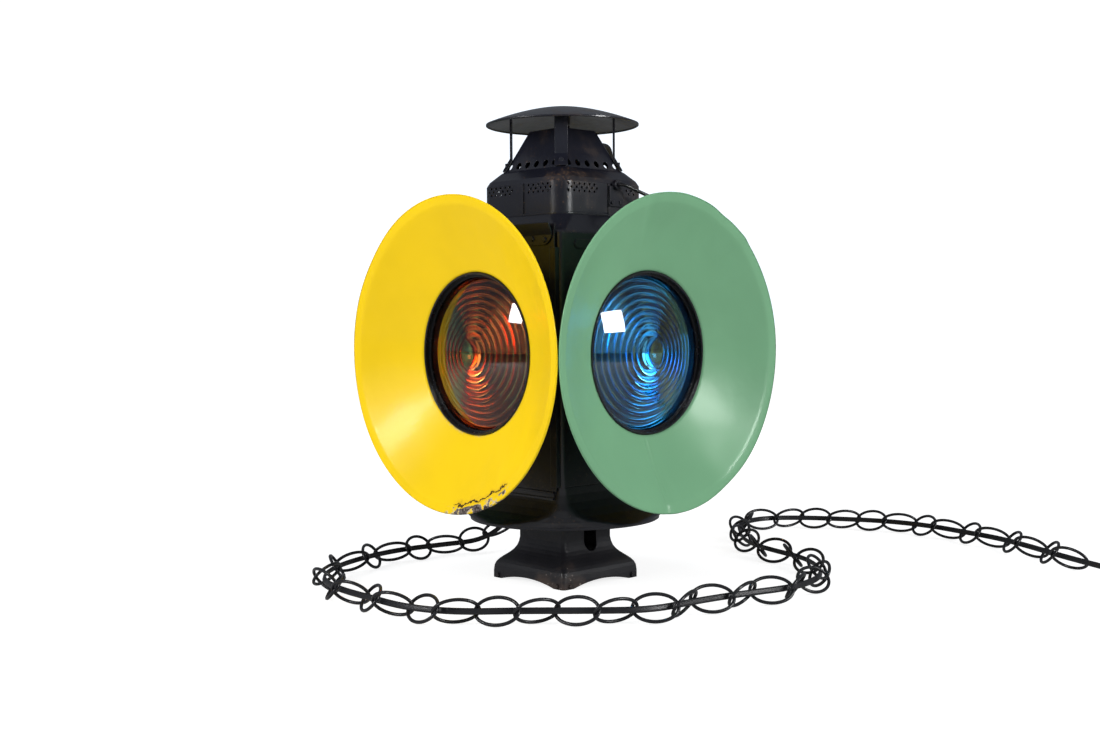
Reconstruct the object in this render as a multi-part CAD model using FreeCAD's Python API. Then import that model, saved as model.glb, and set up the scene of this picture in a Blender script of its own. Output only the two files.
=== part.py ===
"""Four-way railway switch lamp with coloured day targets, a swag chain and a mains lead.

Units are millimetres. +Z is up and the origin is the centre of the foot, on the surface it
stands on. The sliding door with the amber lens faces -X and the blue lens faces -Y.
Every sheet-metal piece is built from the same few driving dimensions below.
"""
import FreeCAD
import Part
import math
import os

V = FreeCAD.Vector

# driving dimensions of the case
CASE_HALF = 64.0            # half the width of the square case
CASE_CORNER = 5.0           # outside corner radius of the case
FOOT_HEIGHT = 52.0          # underside of the pan
CASE_BOTTOM = FOOT_HEIGHT + 36.0  # where the case meets the skirt
CASE_TOP = 291.0            # where the case meets the shoulder
SHEET = 1.2                 # thickness of the case, dome and target sheet
LENS_HEIGHT = 194.4         # height of all four lens axes

# driving dimensions of the targets and lenses
TARGET_RADIUS = 127.0       # ten-inch day target
TARGET_OPENING = 66.4       # radius of its centre opening
TARGET_INNER_PLANE = CASE_HALF + 35.5  # distance of the opening's edge from the lamp's axis
TARGET_RIM_PLANE = TARGET_INNER_PLANE + 29.5  # distance of the rim's roll from the lamp's axis
RIM_ROLL = 1.0              # radius of the rolled rim
LENS_RADIUS = 68.26         # lens of 5 3/8 inches
LENS_SIGHT = 62.3           # radius of glass that the retaining ring leaves visible
LENS_DOME = 13.0            # height of the glass dome above its edge
LENS_PLANE = CASE_HALF + 30.0  # distance of the glass's outer edge from the lamp's axis
BARREL_RADIUS = 71.0        # outside radius of the lens barrel
NECK_RADIUS = 54.0          # barrel where it meets the case, clear of the barrel round the corner
CASE_OPENING = 50.0         # radius of the round opening behind each lens

# driving dimensions of the foot and the pan
FOOT_HALF = 44.6            # half the width across the spread foot
FOOT_CORNER = 3.6           # outside corner radius of the foot
# hole in the foot: across, half width, height of its round end, and of its top
FOOT_HOLE = (2.2, 7.3, FOOT_HEIGHT - 19, FOOT_HEIGHT - 4.5)
TUBE_HALF = 28.5            # half the width of the square socket
TUBE_WALL = 2.5
PAN_RADIUS = CASE_HALF + 16.5

# driving dimensions of the top
DOME_HALF = 50.0            # lower ventilator
DOME_CORNER = 14.0
DOME_BOTTOM = CASE_TOP + 16.0
DOME_WALL_TOP = DOME_BOTTOM + 27.0
CONE_BASE = DOME_WALL_TOP + 12.5  # upper ventilator, a tapered square
CONE_BASE_HALF = 37.3
CONE_TOP = CONE_BASE + 34.5
CONE_TOP_HALF = 21.6
CONE_CORNER = 9.0
VENT_HOLE = 2.75
VENT_PITCH = 11.0
CAP_RADIUS = 65.0
CAP_RIM = CONE_TOP + 6.0
CAP_HEIGHT = CAP_RIM + 15.0
STRUT_RADIUS = 42.8         # distance of the cap's legs from the axis
STRUT_WIDTH = 11.0
STRUT_SHEET = 1.8

# door
DOOR_HALF = CASE_HALF - 4.4
DOOR_PLANE = CASE_HALF + 1.6  # inner face of the door sheet
DOOR_SHEET = 1.0
DOOR_BOTTOM = CASE_BOTTOM - 3.3
DOOR_TOP = CASE_TOP + 7.0
GUIDE_TOP = CASE_TOP - 12.0

# bail
BAIL_WIRE = 1.5
BAIL_PIVOT = V(12, 0, DOME_WALL_TOP - 1)
BAIL_SLOPE = math.radians(22.6)
BAIL_REACH = 84.5
BAIL_HALF = 69.0
EAR_BORE = 1.58

# lead and chain
CORD = 5.0
LINK_LENGTH = 37.0
LINK_WIDTH = 25.0
LINK_WIRE = 2.7
LINK_PLAY = 0.9
LINK_SWAY = 6.0             # how far the links' joints stand to each side of the lead
LINK_ROLL = 35.0
EYE_CLEAR = 1.3             # further sway of the first link, so its eye clears the lead
LIE = 11.2                  # height of the lead where it runs through the chain on the floor

SIDES = {"west": 180, "south": 270, "east": 0, "north": 90}


def export(name, shape):
    """Write one node, and say its size."""
    if not shape.isValid():
        print("NOT VALID", name)
    shape.exportStep("parts/%s.step" % name)
    box = shape.BoundBox
    print("%-18s solids %2d  volume %9.0f  z %.1f to %.1f"
          % (name, len(shape.Solids), shape.Volume, box.ZMin, box.ZMax))


def box(x0, x1, y0, y1, z0, z1):
    """Box between two corners."""
    return Part.makeBox(x1 - x0, y1 - y0, z1 - z0, V(x0, y0, z0))


def rod(start, end, radius):
    """Round bar between two points."""
    return Part.makeCylinder(radius, (end - start).Length, start, end - start)


def square(half, corner, z):
    """Horizontal square outline with rounded corners."""
    flat = half - corner
    dip = corner * (1 - math.sqrt(0.5))
    edges = []
    for turn in range(4):
        angle = math.radians(90 * turn)

        def at(x, y):
            return V(x * math.cos(angle) - y * math.sin(angle),
                     x * math.sin(angle) + y * math.cos(angle), z)
        edges.append(Part.LineSegment(at(half, -flat), at(half, flat)).toShape())
        edges.append(Part.Arc(at(half, flat), at(half - dip, half - dip), at(flat, half)).toShape())
    return Part.Wire(edges)


def tapered(levels):
    """Solid through square outlines, each given as height, half width and corner radius."""
    return Part.makeLoft([square(half, corner, z) for z, half, corner in levels], True, True)


def tapered_sheet(levels, wall):
    """Open sheet-metal tube through the same outlines."""
    inner = [(z, half - wall, max(corner - wall, 0.6)) for z, half, corner in levels]
    low, high = inner[0], inner[-1]
    inner = [(low[0] - 1, low[1], low[2])] + inner + [(high[0] + 1, high[1], high[2])]
    return tapered(levels).cut(tapered(inner))


def turned(profile):
    """Solid of revolution about Z from a closed outline of radius and height."""
    points = [V(r, 0, z) for r, z in profile]
    face = Part.Face(Part.makePolygon(points + [points[0]]))
    return face.revolve(V(0, 0, 0), V(0, 0, 1), 360)


def outward(shape, side):
    """Stand a shape that was turned about Z on one side's lens axis."""
    shape = shape.copy()
    shape.rotate(V(0, 0, 0), V(0, 1, 0), 90)
    shape.rotate(V(0, 0, 0), V(0, 0, 1), SIDES[side])
    shape.translate(V(0, 0, LENS_HEIGHT))
    return shape


def fused(shapes):
    """One shape from several that touch."""
    return shapes[0].multiFuse(shapes[1:]).removeSplitter()


def bent(points, radii):
    """Wire of straight runs and tangent arcs, with one radius for each inner point."""
    edges = []
    start = points[0]
    for index in range(1, len(points) - 1):
        corner = points[index]
        back = (points[index - 1] - corner).normalize()
        ahead = (points[index + 1] - corner).normalize()
        half_turn = (math.pi - back.getAngle(ahead)) / 2
        setback = radii[index - 1] * math.tan(half_turn)
        middle = (back + ahead).normalize()
        mid_gap = radii[index - 1] * (1 / math.cos(half_turn) - 1)
        enter = corner + back * setback
        leave = corner + ahead * setback
        edges.append(Part.LineSegment(start, enter).toShape())
        edges.append(Part.Arc(enter, corner + middle * mid_gap, leave).toShape())
        start = leave
    edges.append(Part.LineSegment(start, points[-1]).toShape())
    return Part.Wire(edges)


def cord_radii(points):
    """The largest arc that each point of a cord's route has room for."""
    radii = []
    for index in range(1, len(points) - 1):
        back = points[index - 1] - points[index]
        ahead = points[index + 1] - points[index]
        half_turn = (math.pi - back.getAngle(ahead)) / 2
        radii.append(0.45 * min(back.Length, ahead.Length) / math.tan(half_turn))
    return radii


def swept(wire, radius):
    """Round bar along a wire."""
    start = wire.Edges[0].firstVertex().Point
    heading = wire.Edges[0].lastVertex().Point - start
    section = Part.Wire(Part.makeCircle(radius, start, heading))
    return wire.makePipeShell([section], True, True)


# ---------------------------------------------------------------- foot, pan and case

def base_socket():
    """Square socket for a switch stand's spindle, spread into four feet."""
    spread = FOOT_HALF - TUBE_HALF
    flare = [(0, 1), (6, 1), (10.5, 0.97), (13.5, 0.90), (16, 0.78), (18, 0.65), (20, 0.50),
             (22, 0.36), (24.5, 0.22), (27.5, 0.11), (31, 0.04), (35, 0)]
    levels = [(z, TUBE_HALF + share * spread, FOOT_CORNER) for z, share in flare]
    body = tapered_sheet(levels + [(FOOT_HEIGHT, TUBE_HALF, FOOT_CORNER)], TUBE_WALL)
    arch = 4.4
    span = FOOT_HALF - 12
    radius = (span ** 2 + arch ** 2) / (2 * arch)
    for axis in (V(1, 0, 0), V(0, 1, 0)):
        start = V(0, 0, arch - radius) - axis * 60
        body = body.cut(Part.makeCylinder(radius, 120, start, axis))
    middle, half_wide, low, high = FOOT_HOLE
    hole = fused([box(middle - half_wide, middle + half_wide, -TUBE_HALF - 9, 0, low, high),
                  Part.makeCylinder(half_wide, TUBE_HALF + 9, V(middle, 0, low), V(0, -1, 0))])
    return body.cut(hole)


def foot_rivets():
    """Two rivet ends beside each corner of the foot."""
    pieces = []
    for turn in range(4):
        for swap in (1, -1):
            along = (FOOT_HALF - 8) * swap
            nub = rod(V(FOOT_HALF, along, 2.6), V(FOOT_HALF + 1.8, along, 2.6), 2.1)
            nub.rotate(V(0, 0, 0), V(0, 0, 1), 90 * turn)
            pieces.append(nub)
    return Part.makeCompound(pieces)


def pan_floor():
    """Round floor of the lamp with a small vent at its centre."""
    plate = Part.makeCylinder(PAN_RADIUS - SHEET, SHEET, V(0, 0, FOOT_HEIGHT))
    return plate.cut(Part.makeCylinder(6, 9, V(0, 0, FOOT_HEIGHT - 4)))


def skirt():
    """Sweep from the round pan to the square case, with the door's sill."""
    flare = PAN_RADIUS - CASE_HALF
    top = CASE_BOTTOM
    rise = top - FOOT_HEIGHT
    shares = [(0.01, 1, 0.981), (0.06, 1, 0.981), (0.12, 0.86, 0.80), (0.20, 0.66, 0.55),
              (0.32, 0.42, 0.33), (0.48, 0.22, 0.19), (0.64, 0.09, 0.12), (0.82, 0.02, 0.08)]
    levels = [(FOOT_HEIGHT + share * rise, CASE_HALF + out * flare, round_off * PAN_RADIUS)
              for share, out, round_off in shares]
    levels.append((top, CASE_HALF, CASE_CORNER))
    sheet = tapered_sheet(levels, SHEET)
    lip = turned([(PAN_RADIUS - SHEET + 0.02, FOOT_HEIGHT), (PAN_RADIUS, FOOT_HEIGHT),
                  (PAN_RADIUS, FOOT_HEIGHT + 0.5), (PAN_RADIUS - SHEET + 0.02, FOOT_HEIGHT + 0.5)])
    half = CASE_HALF - 8
    ribs = ((2.6, top - 10.5, top - 8.7), (1.6, top - 8.7, top - 5.3), (2.6, top - 5.3, top - 3.7))
    sill = fused([box(-CASE_HALF - out, -CASE_HALF + 0.2, -half, half, low, high)
                  for out, low, high in ribs])
    return fused([sheet, lip, sill])


def case_shell():
    """Square case: four lens openings, a doorway to the west and a bead on the other sides."""
    body = tapered_sheet([(CASE_BOTTOM, CASE_HALF, CASE_CORNER), (CASE_TOP, CASE_HALF, CASE_CORNER)],
                         SHEET)
    beads = []
    bead_z = CASE_TOP - 8.8
    for side in ("south", "east", "north"):
        back, face = CASE_HALF - 0.4, CASE_HALF + 1.0
        reach = CASE_HALF - 19
        bead = fused([box(back, face, -reach, reach, bead_z - 3.8, bead_z + 3.8),
                      rod(V(back, -reach, bead_z), V(face, -reach, bead_z), 3.8),
                      rod(V(back, reach, bead_z), V(face, reach, bead_z), 3.8)])
        bead.rotate(V(0, 0, 0), V(0, 0, 1), SIDES[side])
        beads.append(bead)
    body = fused([body] + beads)
    for side in ("south", "east", "north"):
        hole = Part.makeCylinder(CASE_OPENING, CASE_HALF, V(0, 0, 20))
        body = body.cut(outward(hole, side))
    half = CASE_HALF - 13
    doorway = box(-CASE_HALF - 5, -CASE_HALF + 9, -half, half, CASE_BOTTOM + 12, CASE_TOP - 12)
    return body.cut(doorway)


def door_guide(sign):
    """Upright channel that the door slides in, on one edge of the west side."""
    outer = DOOR_PLANE + DOOR_SHEET + 0.3
    low = CASE_BOTTOM + 0.2
    edge = CASE_HALF - 2
    web = box(-DOOR_PLANE + 0.3, -CASE_HALF, edge - 10, edge, low, GUIDE_TOP)
    wall = box(-outer - SHEET, -CASE_HALF, DOOR_HALF + 0.4, edge, low, GUIDE_TOP)
    lip = box(-outer - SHEET, -outer, edge - 7, edge, low, GUIDE_TOP)
    guide = fused([web, wall, lip])
    if sign < 0:
        guide = guide.mirror(V(0, 0, 0), V(0, 1, 0))
    return guide


def shoulder():
    """Sloping sheet from the case in to the dome."""
    levels = [(CASE_TOP, CASE_HALF, CASE_CORNER), (CASE_TOP + 2, CASE_HALF - 1.2, CASE_CORNER + 1),
              (DOME_BOTTOM, DOME_HALF + 0.6, DOME_CORNER)]
    return tapered_sheet(levels, SHEET)


# ---------------------------------------------------------------- top

PRICK_PITCH = 2.9
BESIDE = list(range(-14, -2))       # pricks on one side of a wall's seam
PAST_EAR = list(range(9, 14))       # pricks beyond the bail's ear
BEYOND = list(range(4, 14))         # pricks on the seam's other side where nothing covers them
PRICK_ROWS = [BESIDE, BESIDE + PAST_EAR, BESIDE + BEYOND, BESIDE + PAST_EAR]


def dome():
    """Lower ventilator: rounded square wall and shoulder, with pricked vents and seams."""
    levels = [(DOME_BOTTOM, DOME_HALF, DOME_CORNER), (DOME_WALL_TOP, DOME_HALF, DOME_CORNER),
              (DOME_WALL_TOP + 4, DOME_HALF - 2.2, DOME_CORNER - 1),
              (CONE_BASE - 1.5, CONE_BASE_HALF + 3.2, CONE_CORNER + 1.5),
              (CONE_BASE, CONE_BASE_HALF + 1.3, CONE_CORNER + 1.5)]
    body = tapered_sheet(levels, SHEET)
    hem = tapered_sheet([(DOME_BOTTOM, DOME_HALF + 0.7, DOME_CORNER + 0.7),
                         (DOME_BOTTOM + 2, DOME_HALF + 0.7, DOME_CORNER + 0.7)], 1.0)
    seams = []
    for turn in range(4):
        seam = box(DOME_HALF - 0.3, DOME_HALF + 0.9, 3.5, 6.0, DOME_BOTTOM, DOME_WALL_TOP)
        seam.rotate(V(0, 0, 0), V(0, 0, 1), 90 * turn)
        seams.append(seam)
    body = fused([body, hem] + seams)
    pricks = []
    for turn in range(4):
        for across in PRICK_ROWS[turn]:
            for row in range(3):
                if (across + row) % 2:
                    continue
                start = V(DOME_HALF - 4, across * PRICK_PITCH, DOME_WALL_TOP - 7.8 + PRICK_PITCH * row)
                prick = Part.makeCylinder(0.95, 8, start, V(1, 0, 0))
                prick.rotate(V(0, 0, 0), V(0, 0, 1), 90 * turn)
                pricks.append(prick)
    return body.cut(Part.makeCompound(pricks))


def cone_half(z):
    """Half width of the upper ventilator at a height."""
    share = (z - CONE_BASE) / (CONE_TOP - CONE_BASE)
    return CONE_BASE_HALF + share * (CONE_TOP_HALF - CONE_BASE_HALF)


def cone():
    """Upper ventilator: tapered square with a row of holes and the lead's hole."""
    body = tapered_sheet([(CONE_BASE, CONE_BASE_HALF, CONE_CORNER),
                          (CONE_TOP, CONE_TOP_HALF, CONE_CORNER - 3)], SHEET)
    holes = []
    for turn in range(4):
        for count in range(6):
            across = (count - 2.5) * VENT_PITCH
            hole = Part.makeCylinder(VENT_HOLE, 30, V(20, across, CONE_BASE + 4.5), V(1, 0, 0))
            hole.rotate(V(0, 0, 0), V(0, 0, 1), 90 * turn)
            holes.append(hole)
    body = body.cut(Part.makeCompound(holes))
    return body.cut(rod(EXIT - EXIT_WAY * 6, EXIT + EXIT_WAY * 6, GROMMET_NECK))


def cap_z(radius):
    """Height of the cap's outside at a radius."""
    return CAP_HEIGHT - (CAP_HEIGHT - CAP_RIM) * (radius / CAP_RADIUS) ** 1.7


def cap():
    """Shallow rain cap with a rolled rim."""
    steps = [CAP_RADIUS * step / 12 for step in range(13)]
    outside = [(r, cap_z(r)) for r in steps]
    inside = [(r, cap_z(r) - SHEET) for r in reversed(steps)]
    roll = Part.makeTorus(CAP_RADIUS - 0.9, 0.9, V(0, 0, CAP_RIM - 0.7))
    return turned(outside + inside).fuse(roll).removeSplitter()


def strut(angle):
    """Flat leg of the cap: upright strap whose foot follows the cone's corner."""
    slope = ((CONE_BASE_HALF - CONE_TOP_HALF) * math.sqrt(2)
             - 3 * (math.sqrt(2) - 1)) / (CONE_TOP - CONE_BASE)
    corner_base = (CONE_BASE_HALF - CONE_CORNER) * math.sqrt(2) + CONE_CORNER
    knee = CONE_BASE + (corner_base + 0.3 - STRUT_RADIUS) / slope
    foot_z = CONE_BASE + 1.0
    foot_r = corner_base + 0.3 - slope
    top = cap_z(STRUT_RADIUS + STRUT_SHEET) - SHEET - 0.8
    outline = [(foot_r, foot_z), (STRUT_RADIUS, knee), (STRUT_RADIUS, top),
               (STRUT_RADIUS + STRUT_SHEET, top), (STRUT_RADIUS + STRUT_SHEET, knee + 0.8),
               (foot_r + STRUT_SHEET + 0.4, foot_z)]
    points = [V(r, -STRUT_WIDTH / 2, z) for r, z in outline]
    strap = Part.Face(Part.makePolygon(points + [points[0]])).extrude(V(0, STRUT_WIDTH, 0))
    middle_z = (foot_z + knee) / 2
    middle_r = (foot_r + STRUT_RADIUS) / 2 + STRUT_SHEET - 0.3
    strap = strap.fuse(rod(V(middle_r, 0, middle_z), V(middle_r + 1.6, 0, middle_z), 2.2))
    strap.rotate(V(0, 0, 0), V(0, 0, 1), angle)
    return strap


# ---------------------------------------------------------------- lenses and targets

def barrel(side):
    """Round barrel that holds the lens and carries the target."""
    foot = DOOR_PLANE + DOOR_SHEET if side == "west" else CASE_HALF
    seat = LENS_PLANE - 5.2
    wall = SHEET + 0.3
    bend = DOOR_PLANE + DOOR_SHEET + 2.4
    front = TARGET_INNER_PLANE - 1.0
    shape = turned([(NECK_RADIUS - wall, foot), (NECK_RADIUS, foot), (NECK_RADIUS, bend),
                    (BARREL_RADIUS, seat - 0.6), (BARREL_RADIUS, front),
                    (BARREL_RADIUS - wall, front), (BARREL_RADIUS - wall, seat),
                    (NECK_RADIUS - wall, bend + 0.6)])
    stop = turned([(LENS_SIGHT, seat - 1.5), (BARREL_RADIUS - 1, seat - 1.5),
                   (BARREL_RADIUS - 1, seat), (LENS_SIGHT, seat)])
    return outward(shape.fuse(stop).removeSplitter(), side)


def lens(side):
    """Pressed glass lens: smooth dome outside, rings of prisms inside."""
    curve = (LENS_SIGHT ** 2 + LENS_DOME ** 2) / (2 * LENS_DOME)

    def skin(r):
        return LENS_PLANE + LENS_DOME - curve + math.sqrt(curve ** 2 - r ** 2)

    outside = [(LENS_SIGHT * step / 14, skin(LENS_SIGHT * step / 14)) for step in range(15)]
    back = LENS_PLANE - 5.0
    edge = [(LENS_RADIUS, LENS_PLANE), (LENS_RADIUS, back), (LENS_SIGHT, back)]
    rings = []
    count = 6
    width = (LENS_SIGHT - 13) / count
    for ring in range(count):
        outer = LENS_SIGHT - ring * width
        rings.append((outer - 0.6, skin(outer) - 4.6))
        rings.append((outer - width + 0.2, skin(outer - width) - 9.0))
    rings.append((12.5, skin(12.5) - 4.6))
    rings.append((0, skin(0) - 10.5))
    return outward(turned(outside + edge + rings), side)


def ring(side):
    """Retaining ring in front of the glass, just inside the target's opening."""
    front = TARGET_INNER_PLANE + 0.3
    shape = turned([(LENS_SIGHT, LENS_PLANE + 0.3), (LENS_RADIUS, LENS_PLANE + 0.3),
                    (LENS_RADIUS, LENS_PLANE + 1.8), (TARGET_OPENING - 0.5, LENS_PLANE + 1.8),
                    (TARGET_OPENING - 0.5, front), (TARGET_OPENING - 1.4, front + 0.6),
                    (TARGET_OPENING - 2.3, front), (TARGET_OPENING - 2.3, LENS_PLANE + 1.8),
                    (LENS_SIGHT, LENS_PLANE + 1.8)])
    return outward(shape, side)


def target(side):
    """Ten-inch day target: shallow cone of enamelled sheet with a rolled rim."""
    inner, outer = TARGET_OPENING, TARGET_RADIUS
    low, high = TARGET_INNER_PLANE, TARGET_RIM_PLANE
    face = [(inner, low), (inner + 0.25 * (outer - inner), low + 0.22 * (high - low)),
            (inner + 0.5 * (outer - inner), low + 0.46 * (high - low)),
            (inner + 0.75 * (outer - inner), low + 0.72 * (high - low)),
            (outer - 1.4, high - 0.3)]
    sheet = face + [(r + 0.5, x - SHEET) for r, x in reversed(face)]
    collar = turned([(inner, low - 0.8), (BARREL_RADIUS, low - 0.8), (BARREL_RADIUS, low),
                     (inner, low)])
    collar = collar.common(turned([(inner, low - 3), (inner + 5, low - 3),
                                   (inner + 5, low + 0.5), (inner, low + 0.2)]))
    roll = Part.makeTorus(outer - RIM_ROLL, RIM_ROLL, V(0, 0, high))
    return outward(fused([turned(sheet), collar, roll]), side)


# ---------------------------------------------------------------- door

def door_panel():
    """Flat sliding door with the lens opening."""
    panel = box(-DOOR_PLANE - DOOR_SHEET, -DOOR_PLANE, -DOOR_HALF, DOOR_HALF, DOOR_BOTTOM, DOOR_TOP)
    return panel.cut(outward(Part.makeCylinder(CASE_OPENING, 90), "west"))


def door_flap():
    """Finger flap along the door's top, with rounded lower corners and a lip that stands out."""
    face = DOOR_PLANE + DOOR_SHEET
    low, round_z, top = DOOR_TOP - 17, DOOR_TOP - 6, DOOR_TOP + 7
    outline = [(face, low), (face, DOOR_TOP - 8.5), (face + 4.6, DOOR_TOP + 1),
               (face + 5.7, DOOR_TOP + 0.4), (face + SHEET, DOOR_TOP - 9), (face + SHEET, low)]
    half = DOOR_HALF - 1.6
    points = [V(-x, -half, z) for x, z in outline]
    strip = Part.Face(Part.makePolygon(points + [points[0]])).extrude(V(0, 2 * half, 0))
    deep, near, corner = -face - 25, -face + 15, 11
    plan = fused([box(deep, near, -half, half, round_z, top),
                  box(deep, near, corner - half, half - corner, low - 11, top)]
                 + [Part.makeCylinder(corner, near - deep, V(deep, y, round_z), V(1, 0, 0))
                    for y in (corner - half, half - corner)])
    return strip.common(plan)


def door_rivets():
    """Rivet heads of the flap."""
    face = DOOR_PLANE + DOOR_SHEET + SHEET
    heads = []
    for y in (-50, -35.6, 35.6, 50):
        height = DOOR_TOP - (12.8 if abs(y) > 40 else 11.6)
        heads.append(Part.makeCone(2.4, 1.5, 1.3, V(-face, y, height), V(-1, 0, 0)))
    return Part.makeCompound(heads)


# ---------------------------------------------------------------- bail

def on_bail(reach, y):
    """Point of the bail at a distance from its pivot axis, in its rest pose."""
    return V(BAIL_PIVOT.x + reach * math.cos(BAIL_SLOPE), y,
             BAIL_PIVOT.z - reach * math.sin(BAIL_SLOPE))


def bail():
    """Carrying bail of round wire whose ends turn in through the ears."""
    half = [(0, DOME_HALF + 1.7), (0, DOME_HALF + 10), (26, BAIL_HALF), (BAIL_REACH, BAIL_HALF)]
    points = [on_bail(reach, -y) for reach, y in half]
    points += [on_bail(reach, y) for reach, y in reversed(half)]
    return swept(bent(points, [4, 9, 10, 10, 9, 4]), BAIL_WIRE)


def bail_ears():
    """Riveted ears that the bail's ends turn in."""
    ears = []
    for sign in (1, -1):
        x, z = BAIL_PIVOT.x, BAIL_PIVOT.z
        plate = box(x - 8, x + 8, DOME_HALF + 0.95, DOME_HALF + 2.1, z - 18, z - 1)
        eye = rod(V(x, DOME_HALF + 0.95, z), V(x, DOME_HALF + 4.6, z), 4.2)
        ear = plate.fuse(eye)
        for place in (x - 5, x + 5):
            ear = ear.fuse(rod(V(place, DOME_HALF, z - 14.5), V(place, DOME_HALF + 3.2, z - 14.5), 1.8))
        bore = rod(V(x, DOME_HALF + 1.4, z), V(x, DOME_HALF + 9, z), EAR_BORE)
        ear = ear.cut(bore).removeSplitter()
        if sign < 0:
            ear = ear.mirror(V(0, 0, 0), V(0, 1, 0))
        ears.append(ear)
    return Part.makeCompound(ears)


# ---------------------------------------------------------------- lampholder and bulb

HOLDER_RADIUS = 17.0
HOLDER_BOTTOM = FOOT_HEIGHT + 20.0
HOLDER_TOP = HOLDER_BOTTOM + 52.0
KNOB_HEIGHT = HOLDER_BOTTOM + 20.0


def holder_bracket():
    """Bridge on the pan floor that carries the lampholder."""
    legs = [box(-12, 12, 40 * s - 4, 40 * s + 4, FOOT_HEIGHT + SHEET, HOLDER_BOTTOM - 2)
            for s in (1, -1)]
    bridge = box(-12, 12, -44, 44, HOLDER_BOTTOM - 2, HOLDER_BOTTOM)
    return fused(legs + [bridge]).cut(Part.makeCylinder(5, 9, V(0, 0, HOLDER_BOTTOM - 5)))


def holder_shell():
    """Turned shell of the lampholder, with the key's bore."""
    wall = 1.0
    shell = turned([(5.2, HOLDER_BOTTOM), (9, HOLDER_BOTTOM), (HOLDER_RADIUS, HOLDER_BOTTOM + 9),
                    (HOLDER_RADIUS, HOLDER_TOP), (HOLDER_RADIUS - wall, HOLDER_TOP),
                    (HOLDER_RADIUS - wall, HOLDER_BOTTOM + 9.6), (8.6, HOLDER_BOTTOM + wall),
                    (5.2, HOLDER_BOTTOM + wall)])
    return shell.cut(rod(V(0, 0, KNOB_HEIGHT), V(-30, 0, KNOB_HEIGHT), 1.7))


def holder_core():
    """Insulating core with a threaded bore for the bulb."""
    low = HOLDER_BOTTOM + 26
    return turned([(13.4, low), (15.4, low), (15.4, HOLDER_TOP - 1), (13.4, HOLDER_TOP - 1)])


def holder_key():
    """Turn key of the lampholder's switch."""
    stem = rod(V(-12, 0, KNOB_HEIGHT), V(-26, 0, KNOB_HEIGHT), 1.62)
    knob = rod(V(-26, 0, KNOB_HEIGHT), V(-34, 0, KNOB_HEIGHT), 4.5)
    wing = box(-33.5, -26.5, -6.5, 6.5, KNOB_HEIGHT - 1.5, KNOB_HEIGHT + 1.5)
    return fused([stem, knob, wing])


def bulb_base():
    """Screw base of the bulb."""
    low, top = HOLDER_TOP - 24, HOLDER_TOP + 3
    return turned([(0, low), (4, low), (12.9, low + 4), (12.9, top), (0, top)])


def bulb_glass():
    """Pear-shaped envelope of thin glass, standing on the screw base."""
    wall = 0.9
    low = HOLDER_TOP + 3
    tip = low + 97.5
    profile = [(12.5, 0), (14, 9), (19, 23), (26, 39), (29.4, 55), (29.4, 65), (26.5, 79), (19, 90),
               (9, 96)]
    outline = [(r, low + z) for r, z in profile]
    outside = outline + [(0, tip)]
    inside = [(0, tip - wall), (9 - wall / 2, tip - 1.5 - wall)]
    inside += [(r - wall, z) for r, z in reversed(outline[:-1])]
    return turned(outside + inside)


# ---------------------------------------------------------------- lead, chain and plug

EXIT_HEIGHT = CONE_BASE + 19.5
EXIT_SLOPE = math.atan2(CONE_BASE_HALF - CONE_TOP_HALF, CONE_TOP - CONE_BASE)
EXIT_WAY = V(math.cos(EXIT_SLOPE), 0, math.sin(EXIT_SLOPE))
EXIT = V(cone_half(EXIT_HEIGHT), 4, EXIT_HEIGHT)
GROMMET_NECK = 4.2
GROMMET_FRONT = 5.0

# route of the lead: out of the cone, down behind the lamp, around it on the floor and away
ROUTE = [EXIT + EXIT_WAY * GROMMET_FRONT, EXIT + EXIT_WAY * 21,
         V(66, 7, EXIT_HEIGHT + 7), V(74, 16, EXIT_HEIGHT - 12), V(75, 31, EXIT_HEIGHT - 38),
         V(75, 47, EXIT_HEIGHT - 66), V(80, 61, EXIT_HEIGHT - 88),
         V(86, 77, 255), V(90, 87, 222), V(90, 89, 180), V(87, 91, 138), V(79, 98, 100),
         V(66, 110, 64), V(50, 124, 34), V(28, 139, LIE + 1), V(-14, 152, LIE), V(-62, 158, LIE),
         V(-110, 147, LIE), V(-154, 126, LIE), V(-188, 93, LIE), V(-202, 49, LIE),
         V(-204, 3, LIE), V(-206, -44, LIE), V(-190, -83, LIE), V(-154, -113, LIE),
         V(-120, -147, LIE), V(-84, -179, LIE), V(-38, -181, LIE), V(8, -189, LIE),
         V(56, -202, LIE), V(100, -194, LIE), V(138, -167, LIE), V(167, -128, LIE),
         V(178, -84, LIE), V(196, -41, LIE), V(236, 0, LIE), V(280, 36, LIE), V(324, 42, LIE),
         V(355, 16, LIE), V(378, -22, LIE), V(397, -62, LIE), V(401, -108, LIE),
         V(390, -153, LIE), V(379, -197, LIE), V(357, -240, LIE), V(331, -283, LIE),
         V(308, -328, LIE), V(293, -376, LIE - 2), V(291, -420, 5), V(303, -452, 3.2)]
CHAIN_START = 62.0          # distance along the lead of the chain's first joint
CHAIN_SPARE = 175.0         # length of the lead between the chain's last link and the coil
COIL_RADIUS = 30.0          # middle of the turns
PLUG_AXIS = 7.4             # height of the plug's middle
COIL_TURNS_WIDE = 3
COIL_TURNS_HIGH = 4


def route_wire():
    """The lead's centre line."""
    radii = cord_radii(ROUTE)
    print("lead radii", " ".join("%.0f" % r for r in radii))
    return bent(ROUTE, radii)


def grommet():
    """Bush in the cone's side with a tapered nose."""
    bush = rod(EXIT - EXIT_WAY * 4, EXIT + EXIT_WAY * 1.0, GROMMET_NECK - 0.1)
    flange = rod(EXIT + EXIT_WAY * 0.1, EXIT + EXIT_WAY * 2.4, 6.2)
    nose = Part.makeCone(5.2, 3.6, GROMMET_FRONT - 2.4, EXIT + EXIT_WAY * 2.4, EXIT_WAY)
    return fused([bush, flange, nose])


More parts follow.
